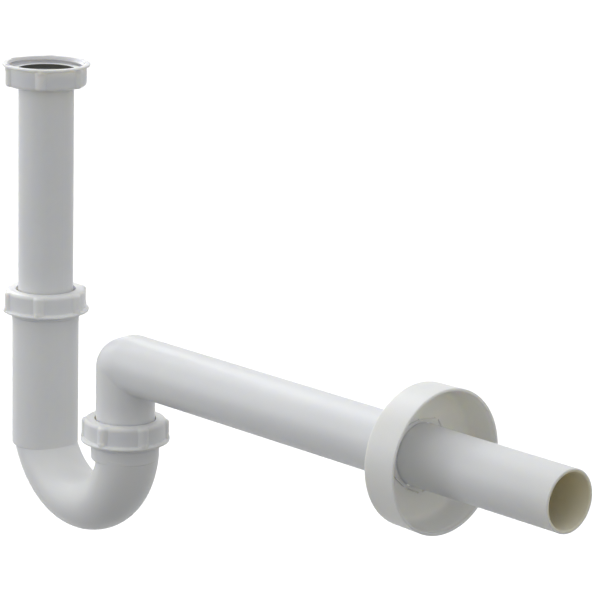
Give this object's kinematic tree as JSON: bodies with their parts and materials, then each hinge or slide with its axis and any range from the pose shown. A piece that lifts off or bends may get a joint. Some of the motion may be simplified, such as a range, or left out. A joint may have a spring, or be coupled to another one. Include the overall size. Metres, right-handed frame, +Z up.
{
  "type": "tubular trap",
  "caption": "White plastic tubular trap for a wash basin: inlet tube, U-shaped trap body, elbow with wall pipe, union nuts and a cup-shaped wall rosette.",
  "frame": {"origin": "on the inlet axis where the clear thread of the top union nut starts, 0.1 mm above the flat seal", "axes": "+Z up along the inlet tube, out of the top nut's mouth; +X along the wall pipe towards the wall"},
  "size_m": [0.4263, 0.0741, 0.255],
  "materials": {
    "tube_plastic": "satin moulded white polypropylene",
    "nut_plastic": "satin moulded white polypropylene",
    "rosette_plastic": "satin moulded white polypropylene",
    "seal_plastic": "soft white polyethylene"
  },
  "bodies": {
    "top_nut": {"top_union_nut": "nut_plastic"},
    "inlet": {"inlet_tube": "tube_plastic", "flat_seal": "seal_plastic"},
    "upper_seal": {"upper_cone_seal": "seal_plastic"},
    "trap": {"trap_body": "tube_plastic"},
    "upper_ring": {"upper_slip_ring": "seal_plastic"},
    "middle_nut": {"middle_union_nut": "nut_plastic"},
    "lower_ring": {"lower_slip_ring": "seal_plastic"},
    "lower_nut": {"lower_union_nut": "nut_plastic"},
    "lower_seal": {"lower_cone_seal": "seal_plastic"},
    "outlet": {"wall_pipe": "tube_plastic"},
    "rosette": {"wall_rosette": "rosette_plastic"}
  },
  "joints": [
    {"name": "inlet_tube_turn", "type": "hinge", "parent": "top_nut", "child": "inlet", "pos_m": [0, 0, -0.0056], "axis": [0, 0, 1], "continuous": true},
    {"name": "height_adjust", "type": "slide", "parent": "inlet", "child": "upper_seal", "axis": [0, 0, 1], "range_m": [-0.02, 0.035]},
    {"name": "trap_turn", "type": "hinge", "parent": "upper_seal", "child": "trap", "pos_m": [0, 0, -0.13], "axis": [0, 0, 1], "continuous": true},
    {"name": "middle_nut_lift", "type": "slide", "parent": "trap", "child": "upper_ring", "axis": [0, 0, 1], "range_m": [0, 0.00694]},
    {"name": "middle_nut_turn", "type": "hinge", "parent": "upper_ring", "child": "middle_nut", "pos_m": [0, 0, -0.1294], "axis": [0, 0, 1], "range_deg": [0, 1080]},
    {"name": "lower_nut_lift", "type": "slide", "parent": "trap", "child": "lower_ring", "axis": [0, 0, 1], "range_m": [0, 0.00694]},
    {"name": "lower_nut_turn", "type": "hinge", "parent": "lower_ring", "child": "lower_nut", "pos_m": [0.07874, -0.00782, -0.1854], "axis": [0, 0, 1], "range_deg": [0, 1080]},
    {"name": "outlet_swivel", "type": "hinge", "parent": "trap", "child": "lower_seal", "pos_m": [0.07874, -0.00782, -0.186], "axis": [0, 0, 1], "range_deg": [-131, 120]},
    {"name": "outlet_lift", "type": "slide", "parent": "lower_seal", "child": "outlet", "axis": [0, 0, 1], "range_m": [-0.0025, 0.008]},
    {"name": "rosette_slide", "type": "slide", "parent": "outlet", "child": "rosette", "axis": [1, 0, 0], "range_m": [-0.193, 0.095]}
  ],
  "couplings": [
    {"joint": "middle_nut_lift", "follows": "middle_nut_turn", "m_per_rad": 0.00036749},
    {"joint": "lower_nut_lift", "follows": "lower_nut_turn", "m_per_rad": 0.00036749}
  ]
}
